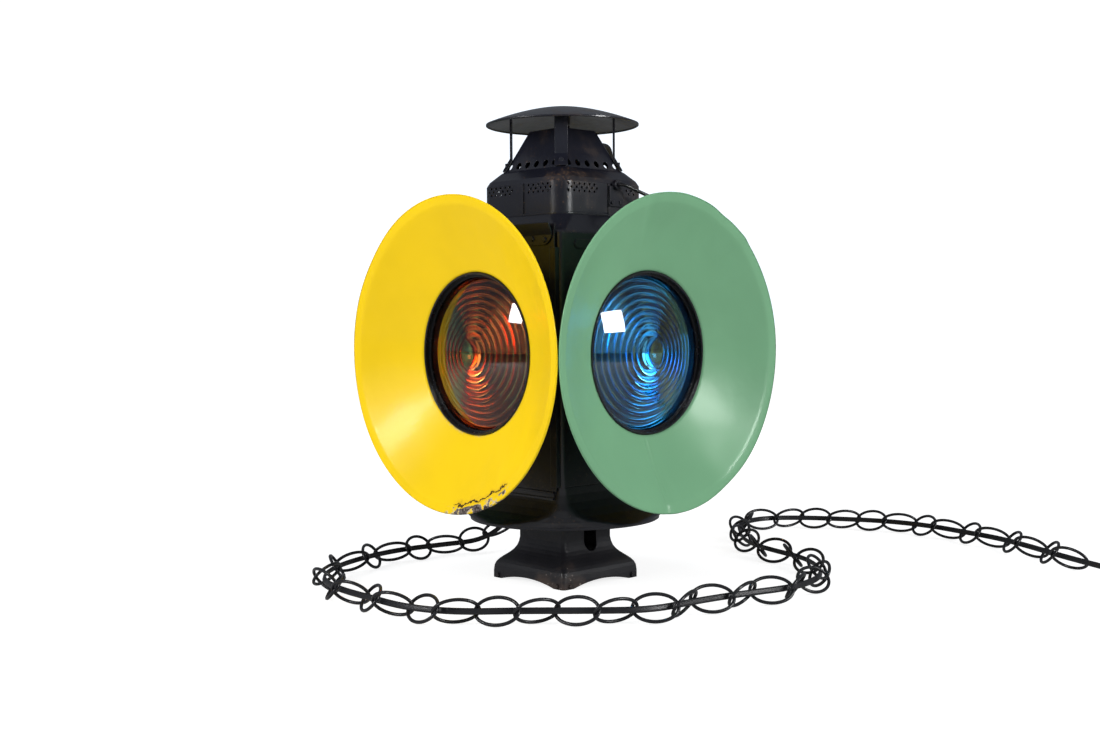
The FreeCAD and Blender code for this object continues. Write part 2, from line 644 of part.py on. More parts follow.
def link():
    """One welded oval link, lying along X with its width along Y."""
    half_long = (LINK_LENGTH - LINK_WIRE) / 2
    half_wide = (LINK_WIDTH - LINK_WIRE) / 2
    path = Part.Wire(Part.Ellipse(V(0, 0, 0), half_long, half_wide).toShape())
    section = Part.Wire(Part.makeCircle(LINK_WIRE / 2, V(half_long, 0, 0), V(0, 1, 0)))
    return path.makePipeShell([section], True, True)


def chain_links(wire):
    """Links along the lead: their joints stand to one side and then the other."""
    step = 1.0
    points = wire.discretize(Number=int(wire.Length / step) + 1)
    step = wire.Length / (len(points) - 1)
    across = V(0, 1, 0)
    frames = []
    for index in range(len(points) - 1, 0, -1):
        way = (points[index] - points[index - 1]).normalize()
        if index == len(points) - 1:
            across = way.cross(V(0, 0, 1)).normalize()
        across = (across - way * across.dot(way)).normalize()
        frames.append((points[index], way, across))
    frames.reverse()
    pitch = LINK_LENGTH - 2 * LINK_WIRE - LINK_PLAY
    forward = math.sqrt(pitch ** 2 - 4 * LINK_SWAY ** 2)
    last = int((wire.Length - CHAIN_SPARE) / step)
    links = []
    side = 1
    index = int(CHAIN_START / step)
    joint = frames[index][0] - frames[index][2] * (LINK_SWAY + EYE_CLEAR)
    master = link()
    while index < last:
        ahead = index + int(0.6 * forward / step)
        while True:
            centre, way, across = frames[ahead]
            following = centre + across * LINK_SWAY * side
            if (following - joint).Length >= pitch or ahead >= len(frames) - 1:
                break
            ahead += 1
        axis = (following - joint).normalize()
        middle = frames[(index + ahead) // 2]
        up = axis.cross(middle[2]).normalize() * -1
        flat = up.cross(axis).normalize()
        roll = math.radians(LINK_ROLL) * side
        width = (up * math.cos(roll) + flat * math.sin(roll)).normalize()
        normal = axis.cross(width)
        centre = (joint + following) * 0.5
        place = FreeCAD.Matrix(axis.x, width.x, normal.x, centre.x,
                               axis.y, width.y, normal.y, centre.y,
                               axis.z, width.z, normal.z, centre.z,
                               0, 0, 0, 1)
        links.append(master.transformed(place, True))
        if len(links) == 1:
            first = (joint, axis, normal)
        joint = following
        index = ahead
        side = -side
    return links, first


def chain_eye(first):
    """Riveted staple on the dome whose eye the chain's first link hangs in."""
    joint, axis, normal = first
    loop = 6.5
    wire = 1.3
    centre = joint + axis * (LINK_WIRE / 2 + wire / 2) - V(loop, 0, 0)
    facing = V(1, 0, 0).cross(normal).normalize()
    eye = Part.makeTorus(loop, wire, centre, facing)
    wall = DOME_HALF
    y = centre.y
    plate = box(wall, wall + SHEET, y - 7, y + 7, DOME_WALL_TOP - 16, DOME_WALL_TOP - 0.5)
    stem = rod(V(wall + 0.4, y, DOME_WALL_TOP - 6), centre - V(loop, 0, 0), 1.7)
    return fused([plate, stem, eye])


def coil():
    """Outer shape of the coiled spare lead."""
    wide = CORD * COIL_TURNS_WIDE / 2
    high = CORD * COIL_TURNS_HIGH
    centre = coil_centre()
    shape = turned([(COIL_RADIUS - wide, 0.2), (COIL_RADIUS + wide, 0.2),
                    (COIL_RADIUS + wide, high), (COIL_RADIUS - wide, high)])
    shape.translate(V(centre.x, centre.y, 0))
    return shape


def coil_centre():
    """The coil lies where the lead runs into its outermost turn."""
    way = (ROUTE[-1] - ROUTE[-2]).normalize()
    left = V(-way.y, way.x, 0).normalize()
    reach = COIL_RADIUS + CORD * (COIL_TURNS_WIDE - 1) / 2
    return V(ROUTE[-1].x, ROUTE[-1].y, 0) + left * reach


def tail_points():
    """The end of the lead: off the coil's outer turn and into the plug beside it."""
    centre = coil_centre()
    reach = COIL_RADIUS + CORD * (COIL_TURNS_WIDE - 1) / 2
    top = CORD * (COIL_TURNS_HIGH - 0.5) + 0.2
    drop = PLUG_AXIS - top
    start = centre + V(reach, 0, top)
    return [start, start + V(-1.5, 15, 0.15 * drop), start + V(1.0, 31, 0.7 * drop),
            start + V(0.5, 46, drop)]


def plug_body(end):
    """Moulded two-pin plug, lying flat beside the coil."""
    body = Part.makeLoft([Part.makePolygon([V(x * w, y, z * h) for x, z in
                                            ((-1, -0.7), (-0.7, -1), (0.7, -1), (1, -0.7), (1, 0.7),
                                             (0.7, 1), (-0.7, 1), (-1, 0.7), (-1, -0.7))])
                          for y, w, h in ((0, 4.2, 4.0), (9, 6.0, 5.4), (18, 10.5, 7.0),
                                          (31, 11.5, 7.2))], True, True)
    body.translate(end)
    return body


def plug_pins(end):
    """Flat pins of the plug."""
    pins = []
    for side in (1, -1):
        x = end.x + side * 6.35
        pin = box(x - 0.75, x + 0.75, end.y + 31, end.y + 49, end.z - 3.15, end.z + 3.15)
        pins.append(pin.cut(rod(V(x - 3, end.y + 45, end.z), V(x + 3, end.y + 45, end.z), 1.6)))
    return Part.makeCompound(pins)


def main():
    os.makedirs("parts", exist_ok=True)
    export("base_socket", base_socket())
    export("foot_rivets", foot_rivets())
    export("pan_floor", pan_floor())
    export("skirt", skirt())
    export("case_shell", case_shell())
    export("door_guide_left", door_guide(1))
    export("door_guide_right", door_guide(-1))
    export("shoulder", shoulder())
    export("dome", dome())
    export("cone", cone())
    export("cap", cap())
    for number, angle in enumerate((45, 135, 225, 315)):
        export("strut_%d" % (number + 1), strut(angle))
    for side in SIDES:
        export("barrel_" + side, barrel(side))
        export("lens_" + side, lens(side))
        export("ring_" + side, ring(side))
        export("target_" + side, target(side))
    export("door_panel", door_panel())
    export("door_flap", door_flap())
    export("door_rivets", door_rivets())
    export("bail", bail())
    export("bail_ears", bail_ears())
    export("holder_bracket", holder_bracket())
    export("holder_shell", holder_shell())
    export("holder_core", holder_core())
    export("holder_key", holder_key())
    export("bulb_base", bulb_base())
    export("bulb_glass", bulb_glass())
    export("grommet", grommet())
    wire = route_wire()
    print("lead length to the coil %.0f" % wire.Length)
    lead = swept(wire, CORD / 2)
    print("lead volume %.0f, section times length %.0f"
          % (lead.Volume, math.pi * CORD ** 2 / 4 * wire.Length))
    export("lead", lead)
    links, first = chain_links(wire)
    export("chain_eye", chain_eye(first))
    print("links", len(links))
    share = math.ceil(len(links) / 4)
    for number in range(4):
        part = Part.makeCompound(links[number * share:(number + 1) * share])
        export("chain_%d" % (number + 1), part)
    export("coil", coil())
    tail = tail_points()
    print("tail radii", " ".join("%.0f" % r for r in cord_radii(tail)))
    path = bent(tail, cord_radii(tail))
    export("lead_end", swept(path, CORD / 2))
    export("plug_body", plug_body(tail[-1]))
    export("plug_pins", plug_pins(tail[-1]))
    turns = COIL_TURNS_WIDE * COIL_TURNS_HIGH
    whole = wire.Length + path.Length + turns * 2 * math.pi * COIL_RADIUS
    print("whole lead %.0f, coil centre %s" % (whole, coil_centre()))


main()
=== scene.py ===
"""Looks of the four-way railway switch lamp: enamelled targets, stepped lenses, black sheet
metal, lead, chain, studio. Laid out as an add-on; run as a script it makes the whole scene.
"""
import math

import bpy
import numpy as np
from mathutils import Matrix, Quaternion, Vector


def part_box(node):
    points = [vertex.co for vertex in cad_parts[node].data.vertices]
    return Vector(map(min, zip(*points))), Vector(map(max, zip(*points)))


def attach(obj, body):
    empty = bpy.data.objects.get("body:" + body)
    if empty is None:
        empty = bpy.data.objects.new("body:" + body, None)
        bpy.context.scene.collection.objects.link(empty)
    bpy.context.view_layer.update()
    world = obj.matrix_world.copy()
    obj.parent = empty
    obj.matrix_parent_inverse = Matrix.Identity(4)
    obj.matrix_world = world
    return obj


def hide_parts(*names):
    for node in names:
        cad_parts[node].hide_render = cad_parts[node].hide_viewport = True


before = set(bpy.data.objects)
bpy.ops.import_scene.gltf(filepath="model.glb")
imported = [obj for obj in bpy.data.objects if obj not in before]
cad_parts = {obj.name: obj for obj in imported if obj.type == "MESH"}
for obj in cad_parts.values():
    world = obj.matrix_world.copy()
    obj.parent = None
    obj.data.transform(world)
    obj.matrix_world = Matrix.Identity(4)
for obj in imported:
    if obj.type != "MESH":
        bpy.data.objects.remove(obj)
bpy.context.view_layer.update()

bl_info = {
    "name": "Railway switch lamp",
    "version": (1, 0, 0),
    "blender": (4, 5, 0),
    "location": "3D View > Sidebar > Switch lamp",
    "description": "Makes the targets, lenses, lead and finishes of a switch lamp on its CAD frame",
    "category": "Object",
}

MM = 0.001
CAMERA_AHEAD = (0.68337, 0.72899, -0.03974)
CAMERA_PLACE = (-0.81786, -0.85507, 0.22778)
CAMERA_LENS = 45.2
CAMERA_ROLL = math.radians(-0.4)
FLOOR_REACH = 14.0
AIM_HEIGHT = 0.2
LENS_DOME = 13.0 * MM
LENS_EDGE = 68.2 * MM
TARGET_INNER = 66.4 * MM
TARGET_LOW = 99.5 * MM
LIP_RISE = 1.9 * MM
RIM_UNDER = 1.2 * MM
CRACK_RADIUS = 117.6 * MM
STAIN_RADIUS = 117.2 * MM
SIDE_TURN = {"west": math.pi, "south": 1.5 * math.pi, "east": 0.0, "north": 0.5 * math.pi}
SIDE_BODY = {"west": "door", "south": "lamp", "east": "lamp", "north": "lamp"}
SIDE_COLOUR = {"west": "yellow", "east": "yellow", "south": "green", "north": "green"}


def middle(node):
    """Centre of a CAD node's box."""
    low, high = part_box(node)
    return [(a + b) / 2 for a, b in zip(low, high)]


LENS_Z = middle("lens_south")[2]
TARGET_R = (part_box("target_south")[1][2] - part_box("target_south")[0][2]) / 2
TARGET_RIM = -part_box("target_south")[0][1]
LENS_FRONT = -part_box("lens_south")[0][1]
COIL_MIDDLE = middle("coil")
SKY = 0.20
CAMERA_WHITE = 1.25
GLASS_WHITE = 1.9
CHAIN_NODES = ("chain_1", "chain_2", "chain_3", "chain_4")
WELD = 2e-6


# ------------------------------------------------------------------ shader helpers

class Value:
    """A node's output that Python's arithmetic works on, by adding Math nodes."""

    def __init__(self, tree, socket):
        self.tree = tree
        self.socket = socket

    def math(self, operation, *others):
        node = self.tree.nodes.new("ShaderNodeMath")
        node.operation = operation
        for index, item in enumerate((self,) + others):
            if isinstance(item, Value):
                self.tree.links.new(item.socket, node.inputs[index])
            else:
                node.inputs[index].default_value = item
        return Value(self.tree, node.outputs[0])

    def flipped(self, operation, other):
        node = self.tree.nodes.new("ShaderNodeMath")
        node.operation = operation
        node.inputs[0].default_value = other
        self.tree.links.new(self.socket, node.inputs[1])
        return Value(self.tree, node.outputs[0])

    def __add__(self, other):
        return self.math("ADD", other)

    def __radd__(self, other):
        return self.flipped("ADD", other)

    def __sub__(self, other):
        return self.math("SUBTRACT", other)

    def __rsub__(self, other):
        return self.flipped("SUBTRACT", other)

    def __mul__(self, other):
        return self.math("MULTIPLY", other)

    def __rmul__(self, other):
        return self.flipped("MULTIPLY", other)

    def __truediv__(self, other):
        return self.math("DIVIDE", other)

    def root(self):
        return self.math("SQRT")

    def size(self):
        return self.math("ABSOLUTE")

    def angle(self, across):
        """Angle in degrees of the point (across, self)."""
        return self.math("ARCTAN2", across) * (180 / math.pi)

    def most(self, other):
        return self.math("MAXIMUM", other)

    def step(self, low, high):
        """0 below low, 1 above high, and a smooth rise between."""
        node = self.tree.nodes.new("ShaderNodeMapRange")
        node.interpolation_type = "SMOOTHSTEP"
        self.tree.links.new(self.socket, node.inputs["Value"])
        node.inputs["From Min"].default_value = low
        node.inputs["From Max"].default_value = high
        return Value(self.tree, node.outputs["Result"])

    def band(self, low, high, soft):
        """1 between low and high, with soft edges."""
        return self.step(low - soft, low + soft) * (1 - self.step(high - soft, high + soft))


class Finish:
    """A material on object coordinates."""

    def __init__(self, name):
        self.material = bpy.data.materials.new(name)
        self.material.use_nodes = True
        self.tree = self.material.node_tree
        self.tree.nodes.clear()
        self.output = self.tree.nodes.new("ShaderNodeOutputMaterial")
        self.shader = self.tree.nodes.new("ShaderNodeBsdfPrincipled")
        self.tree.links.new(self.shader.outputs[0], self.output.inputs[0])
        place = self.node("ShaderNodeTexCoord")
        self.place = place.outputs["Object"]
        split = self.node("ShaderNodeSeparateXYZ", {}, {"Vector": self.place})
        self.x, self.y, self.z = (Value(self.tree, out) for out in split.outputs)

    def node(self, kind, settings=None, sockets=None):
        """Any node, from its type, its settings and its sockets' values or links."""
        node = self.tree.nodes.new(kind)
        for key, value in (settings or {}).items():
            setattr(node, key, value)
        for key, value in (sockets or {}).items():
            if isinstance(value, Value):
                value = value.socket
            if isinstance(value, bpy.types.NodeSocket):
                self.tree.links.new(value, node.inputs[key])
            else:
                node.inputs[key].default_value = value
        return node

    def noise(self, scale, detail=3.0, rough=0.55, stretch=(1, 1, 1)):
        """Noise from 0 to 1 with features of about 1 / scale metres."""
        mapping = self.node("ShaderNodeMapping", {}, {"Vector": self.place, "Scale": stretch})
        made = self.node("ShaderNodeTexNoise", {}, {"Vector": mapping.outputs[0], "Scale": scale,
                                                    "Detail": detail, "Roughness": rough})
        return Value(self.tree, made.outputs["Fac"])

    def mix(self, share, first, second):
        """Colour between two colours."""
        made = self.node("ShaderNodeMix", {"data_type": "RGBA"})
        for index, item in ((0, share), (6, first), (7, second)):
            if isinstance(item, Value):
                item = item.socket
            if isinstance(item, bpy.types.NodeSocket):
                self.tree.links.new(item, made.inputs[index])
            elif index == 0:
                made.inputs[index].default_value = item
            else:
                made.inputs[index].default_value = tuple(item)[:3] + (1.0,)
        return made.outputs[2]

    def bump(self, height, depth, edge=0.0):
        """Surface relief of a depth in metres, with edges rounded for the light if asked."""
        made = self.node("ShaderNodeBump", {}, {"Height": height, "Strength": 1.0, "Distance": depth})
        if edge:
            soft = self.node("ShaderNodeBevel", {"samples": 4}, {"Radius": edge})
            self.tree.links.new(soft.outputs[0], made.inputs["Normal"])
        self.set(Normal=made.outputs[0])

    def set(self, **sockets):
        """Values or links on the shader's own sockets."""
        for key, value in sockets.items():
            target = self.shader.inputs[key.replace("_", " ")]
            if isinstance(value, Value):
                value = value.socket
            if isinstance(value, bpy.types.NodeSocket):
                self.tree.links.new(value, target)
            elif isinstance(value, tuple) and len(value) == 3:
                target.default_value = value + (1.0,)
            else:
                target.default_value = value
        return self


# ------------------------------------------------------------------ finishes

def black_paint(name, edge=0.0008, wear=1.0, side_wear=0.0):
    """Brushed-on black paint over old sheet: soft gloss, bluish sheen, brown wear, small dents."""
    made = Finish(name)
    cloud = made.noise(28, 4, 0.6)
    fine = made.noise(260, 3, 0.6)
    broad = made.noise(9, 2, 0.5)
    shaded = (made.x - made.y).step(-0.01, 0.07) * side_wear
    worn = (cloud * 0.75 + broad * 0.45 + shaded * 0.10).step(0.64, 0.80) * (0.6 * wear)
    specks = (made.noise(420, 2, 0.5) * 0.6 + cloud * 0.5).step(0.66, 0.74) * (0.7 * wear)
    base = made.mix(broad.step(0.35, 0.7), (0.0060, 0.0064, 0.0115), (0.0115, 0.0122, 0.0205))
    base = made.mix(worn, base, (0.052, 0.036, 0.028))
    base = made.mix(specks, base, (0.100, 0.058, 0.036))
    made.set(Base_Color=base, Roughness=0.27 + cloud * 0.16 + worn * 0.28, Coat_Weight=0.30,
             Coat_Roughness=0.09, IOR=1.5)
    made.bump(broad * 0.7 + cloud * 0.22 + fine * 0.05, 0.0022, edge)
    return made.material


def black_cast(name):
    """Black paint on the foot, scuffed to brown and pale metal towards its near lower corner."""
    made = Finish(name)
    cloud = made.noise(45, 4, 0.6)
    fine = made.noise(330, 3, 0.6)
    low = 1 - made.z.step(0.0, 0.034)
    near = 1 - (made.x + made.y).step(-0.066, -0.046)
    worn = (low * 0.30 + near * 0.16 + cloud * 0.58).step(0.62, 0.80) * 0.6
    base = made.mix(cloud, (0.006, 0.006, 0.0085), (0.014, 0.0135, 0.016))
    base = made.mix(worn, base, (0.075, 0.050, 0.038))
    corner = 1 - (made.z + 0.06 + (made.x + made.y)).step(0.002, 0.010)
    pale = (fine * 0.62 + corner * 0.14 + cloud * 0.10).step(0.58, 0.64) * corner.most(0.2)
    base = made.mix(pale * 0.8, base, (0.36, 0.31, 0.27))
    made.set(Base_Color=base, Roughness=0.34 + cloud * 0.2, Coat_Weight=0.12, Coat_Roughness=0.25)
    made.bump(cloud * 0.5 + fine * 0.10, 0.0012, 0.0010)
    return made.material


def enamel(name, colour, deep, side=None):
    """Vitreous enamel: a soft gloss, slight clouding, a ripple, and chips at one target's rim."""
    made = Finish(name)
    cloud = made.noise(14, 3, 0.5)
    ripple = made.noise(55, 2, 0.5)
    base = made.mix(cloud.step(0.3, 0.75), colour, deep)
    rough = 0.26 + cloud * 0.06
    height = ripple * 0.3 + cloud * 0.4
    if side == "west":
        base, rough, height = chips(made, base, rough, height)
    made.set(Base_Color=base, Roughness=rough, Coat_Weight=0.08, Coat_Roughness=0.10, IOR=1.5,
             Specular_IOR_Level=0.17)
    made.bump(height, 0.0009)
    return made.material


def chips(made, base, rough, height):
    """A ragged crack inside the lower right rim, chips on the rim itself and scuffs by the lens.

    Radius r = sqrt(y^2 + u^2) and angle t = atan2(u, -y), u being the height over the lens's axis.
    """
    up = made.z - LENS_Z
    radius = (made.y * made.y + up * up).root()
    angle = up.angle(made.y * -1.0)
    ragged = made.noise(70, 4, 0.65) - 0.5
    fine = made.noise(520, 3, 0.6)
    wavy = radius + ragged * 0.020
    crack = (wavy - CRACK_RADIUS).size() + (fine - 0.5) * 0.0012
    reach = angle.band(-87, -55, 1.5)
    crack = (1 - crack.step(0.0004, 0.0011)) * reach
    stain = (1 - (wavy - STAIN_RADIUS).size().step(0.0, 0.0045)) * reach * 0.35
    patch = made.noise(130, 3, 0.6) * 0.6 + made.noise(38, 2, 0.5) * 0.5
    outer = (radius + ragged * 0.008).step(0.1205, 0.1218) * angle.band(-91, -54, 2.0)
    bare = outer * patch.step(0.545, 0.560)
    pale = outer * patch.step(0.520, 0.535)
    near = 1 - (radius + ragged * 0.004).step(0.0668, 0.0686)
    scuff = near * (fine + ragged).step(0.5, 0.7) * (1 - up.step(-0.045, -0.02))
    steel = made.mix(fine.step(0.42, 0.62), (0.030, 0.020, 0.018), (0.20, 0.17, 0.155))
    base = made.mix(stain, base, (0.60, 0.30, 0.02))
    base = made.mix(pale.most(scuff * 0.7), base, (0.62, 0.52, 0.34))
    base = made.mix(bare, base, steel)
    base = made.mix(crack, base, (0.035, 0.020, 0.010))
    return base, rough + bare * 0.3, height - bare * 0.6 - crack * 0.4


def coloured_glass(name, colour):
    """Pressed coloured glass, lit by what comes through the lamp."""
    made = Finish(name)
    made.set(Base_Color=colour, Roughness=0.03, Transmission_Weight=1.0, IOR=1.5,
             Coat_Weight=0.5, Coat_Roughness=0.0)
    return made.material


def plain(name, colour, rough, metal=0.0, grain=200.0, relief=0.0002, vary=0.15, edge=0.0):
    """A finish with a fine grain, a little uneven in colour and gloss."""
    made = Finish(name)
    grain_noise = made.noise(grain, 3, 0.6)
    cloud = made.noise(grain / 7, 3, 0.5)
    darker = tuple(c * (1 - vary) for c in colour)
    lighter = tuple(min(1.0, c * (1 + vary)) for c in colour)
    made.set(Base_Color=made.mix(cloud, darker, lighter), Roughness=rough + (grain_noise - 0.5) * 0.1,
             Metallic=metal)
    made.bump(grain_noise * 0.4 + cloud * 0.4, relief, edge)
    return made.material


# ------------------------------------------------------------------ surfaces

def grid_mesh(name, points, wrap_u=True, wrap_v=False, creases=None):
    """Mesh from an array of points (u, v, 3): each cell of the grid is a four-cornered face."""
    nu, nv = points.shape[:2]
    index = np.arange(nu * nv).reshape(nu, nv)
    if wrap_u:
        index = np.vstack([index, index[:1]])
    if wrap_v:
        index = np.hstack([index, index[:, :1]])
    quads = np.stack([index[:-1, :-1], index[1:, :-1], index[1:, 1:], index[:-1, 1:]], axis=-1)
    quads = quads.reshape(-1, 4)
    mesh = bpy.data.meshes.new(name)
    mesh.vertices.add(nu * nv)
    mesh.vertices.foreach_set("co", points.reshape(-1).astype(np.float32))
    mesh.loops.add(quads.size)
    mesh.loops.foreach_set("vertex_index", quads.reshape(-1).astype(np.int32))
    mesh.polygons.add(len(quads))
    mesh.polygons.foreach_set("loop_start", np.arange(0, quads.size, 4, dtype=np.int32))
    mesh.update(calc_edges=True)
    mesh.validate()
    mesh.shade_smooth()
    if creases:
        mesh.set_sharp_from_angle(angle=creases)
    piece = bpy.data.objects.new(name, mesh)
    bpy.context.scene.collection.objects.link(piece)
    return piece


def on_side(side, out, across, up):
    """Points given outward from the lamp's axis, across and up, turned to one side."""
    turn = SIDE_TURN[side]
    x = out * math.cos(turn) - across * math.sin(turn)
    y = out * math.sin(turn) + across * math.cos(turn)
    return np.stack([x, y, up + LENS_Z], axis=-1)


def lathe(name, side, profile, steps=160, press=None, creases=None):
    """Surface turned about a side's lens axis from a closed profile of radius and distance out.

    A point at angle t has across = r cos t and up = r sin t; press(t, r) moves it outward.
    """
    profile = np.asarray(profile, float)
    angles = np.linspace(0, 2 * math.pi, steps, endpoint=False)[:, None]
    radius = profile[None, :, 0]
    out = np.repeat(profile[None, :, 1], steps, axis=0)
    if press is not None:
        out = out + press(angles, radius)
    points = on_side(side, out, radius * np.cos(angles), radius * np.sin(angles))
    return grid_mesh(name, points, True, True, creases)


def arc(centre, radius, start, end, count):
    """Points of a circle's arc in a profile: centre + radius (cos, sin)."""
    turn = np.radians(np.linspace(start, end, count))
    return np.stack([centre[0] + radius * np.cos(turn), centre[1] + radius * np.sin(turn)], axis=-1)


def finish(piece, material, body, slot, *nodes):
    """Gives a piece its material and body and hides the CAD nodes that it stands for. The slot is not
    used.
    """
    piece.data.materials.clear()
    piece.data.materials.append(material)
    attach(piece, body)
    if nodes:
        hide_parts(*nodes)
    return piece


def recoat(material, *nodes):
    """Gives CAD nodes a new material."""
    for node in nodes:
        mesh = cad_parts[node].data
        mesh.materials.clear()
        mesh.materials.append(material)


# ------------------------------------------------------------------ sizes and colours

class SwitchLampSizes(bpy.types.PropertyGroup):
    """Sizes of the pieces that are made here."""
    rim_roll: bpy.props.FloatProperty(name="Rim roll", description="Radius of the targets' rolled rim",
                                      default=1.1 * MM, unit="LENGTH")
    lip: bpy.props.FloatProperty(name="Rim lip", description="Width of the flatter lip inside the rim",
                                 default=6.5 * MM, unit="LENGTH")
    sheet: bpy.props.FloatProperty(name="Target sheet", description="Thickness of the targets",
                                   default=1.2 * MM, unit="LENGTH")
    sight: bpy.props.FloatProperty(name="Lens sight", description="Radius of glass that shows",
                                   default=62.3 * MM, unit="LENGTH")
    rings: bpy.props.IntProperty(name="Lens rings", description="Number of prism rings in each lens",
                                 default=9)
    cord: bpy.props.FloatProperty(name="Lead width", description="Width of the flat twin lead",
                                  default=5.0 * MM, unit="LENGTH")
    cord_thick: bpy.props.FloatProperty(name="Lead thickness", description="Thickness of the flat lead",
                                        default=3.0 * MM, unit="LENGTH")


class SwitchLampColours(bpy.types.PropertyGroup):
    """Colours of the finishes."""
    yellow: bpy.props.FloatVectorProperty(name="Yellow", description="Yellow enamel", subtype="COLOR",
                                          default=(0.93, 0.63, 0.008))
    green: bpy.props.FloatVectorProperty(name="Green", description="Green enamel", subtype="COLOR",
                                         default=(0.185, 0.40, 0.225))
    amber: bpy.props.FloatVectorProperty(name="Amber", description="Amber glass", subtype="COLOR",
                                         default=(0.66, 0.19, 0.035))
    blue: bpy.props.FloatVectorProperty(name="Blue", description="Blue glass", subtype="COLOR",
                                        default=(0.12, 0.60, 0.96))


def sizes():
    return bpy.context.scene.switch_lamp_sizes


def colours():
    return bpy.context.scene.switch_lamp_colours


# ------------------------------------------------------------------ stage

class SWITCHLAMP_OT_stage(bpy.types.Operator):
    """Floor, studio lights, world and camera"""
    bl_idname = "switchlamp.stage"
    bl_label = "Stage"

    def execute(self, context):
        scene = context.scene
        floor = bpy.data.meshes.new("floor")
        far = FLOOR_REACH
        floor.from_pydata([(-far, -far, 0), (far, -far, 0), (far, far, 0), (-far, far, 0)],
                          [], [(0, 1, 2, 3)])
        ground = bpy.data.objects.new("floor", floor)
        scene.collection.objects.link(ground)
        pale = Finish("pale_floor")
        pale.set(Base_Color=(0.42, 0.42, 0.425), Roughness=0.95, Specular_IOR_Level=0.1)
        near = pale.node("ShaderNodeEmission", {}, {"Strength": 0.80})
        distant = pale.node("ShaderNodeEmission", {}, {"Strength": 1.0})
        away = (pale.x * pale.x + pale.y * pale.y).root().step(0.25, 1.6)
        glow = pale.node("ShaderNodeMixShader", {}, {0: away, 1: near.outputs[0],
                                                          2: distant.outputs[0]})
        seen = pale.node("ShaderNodeLightPath").outputs["Is Camera Ray"]
        dark = pale.node("ShaderNodeEmission", {}, {"Strength": 0.0})
        lift = pale.node("ShaderNodeMixShader", {}, {0: seen, 1: dark.outputs[0], 2: glow.outputs[0]})
        total = pale.node("ShaderNodeAddShader", {}, {0: pale.shader.outputs[0], 1: lift.outputs[0]})
        pale.tree.links.new(total.outputs[0], pale.output.inputs[0])
        floor.materials.append(pale.material)
        ahead = Vector(CAMERA_AHEAD).normalized()
        self.light("key_left", (-1.75, 0.35, 0.80), 1.0, 1.0, 31)
        self.light("key_right", (0.40, -1.75, 0.75), 1.0, 1.0, 27)
        self.light("overhead", ahead * 0.25 + Vector((0, 0, 2.3)), 2.0, 1.6, 12)
        self.card("card_left", (-1.628, 0.340, 0.823), 0.30, 0.32)
        self.card("card_right", (0.408, -1.647, 0.677), 0.46, 0.36)
        self.world(scene)
        scene.view_settings.view_transform = "Standard"
        self.camera(scene, ahead)
        return {"FINISHED"}

    def light(self, name, place, wide, high, power):
        """A wide soft light that polished surfaces don't mirror."""
        data = bpy.data.lights.new(name, "AREA")
        data.shape = "RECTANGLE"
        data.size = wide
        data.size_y = high
        data.energy = power
        lamp = bpy.data.objects.new(name, data)
        lamp.visible_glossy = False
        self.aim(lamp, place)

    def card(self, name, place, wide, high):
        """A small bright window, seen only in polished surfaces."""
        mesh = bpy.data.meshes.new(name)
        x, y = wide / 2, high / 2
        mesh.from_pydata([(-x, -y, 0), (x, -y, 0), (x, y, 0), (-x, y, 0)], [], [(0, 1, 2, 3)])
        bright = Finish(name)
        bright.set(Base_Color=(0, 0, 0), Emission_Color=(1, 1, 1), Emission_Strength=26.0)
        mesh.materials.append(bright.material)
        card = bpy.data.objects.new(name, mesh)
        card.visible_camera = False
        card.visible_diffuse = False
        card.visible_transmission = False
        card.visible_shadow = False
        self.aim(card, place)

    def aim(self, item, place):
        item.location = place
        towards = Vector((0, 0, AIM_HEIGHT)) - item.location
        item.rotation_euler = towards.to_track_quat("-Z", "Y").to_euler()
        bpy.context.scene.collection.objects.link(item)

    def world(self, scene):
        """White for the camera, brighter through glass, dim and bluish for the rest."""
        world = bpy.data.worlds.new("white_studio")
        scene.world = world
        world.use_nodes = True
        tree = world.node_tree
        tree.nodes.clear()
        out = tree.nodes.new("ShaderNodeOutputWorld")
        sky = tree.nodes.new("ShaderNodeBackground")
        path = tree.nodes.new("ShaderNodeLightPath")
        seen = Value(tree, path.outputs["Is Camera Ray"])
        through = Value(tree, path.outputs["Is Transmission Ray"])
        strength = seen * (CAMERA_WHITE - SKY) + through * (GLASS_WHITE - SKY) + SKY
        sky.inputs["Color"].default_value = (0.86, 0.92, 1.0, 1)
        tree.links.new(strength.socket, sky.inputs["Strength"])
        tree.links.new(sky.outputs[0], out.inputs[0])

    def camera(self, scene, ahead):
        data = bpy.data.cameras.new("camera")
        data.lens = CAMERA_LENS
        data.sensor_width = 36.0
        data.clip_end = 60
        eye = bpy.data.objects.new("camera", data)
        eye.location = CAMERA_PLACE
        eye.rotation_mode = "QUATERNION"
        eye.rotation_quaternion = ahead.to_track_quat("-Z", "Y") @ Quaternion((0, 0, 1), CAMERA_ROLL)
        scene.collection.objects.link(eye)
        scene.camera = eye


# ------------------------------------------------------------------ lead, chain and plug

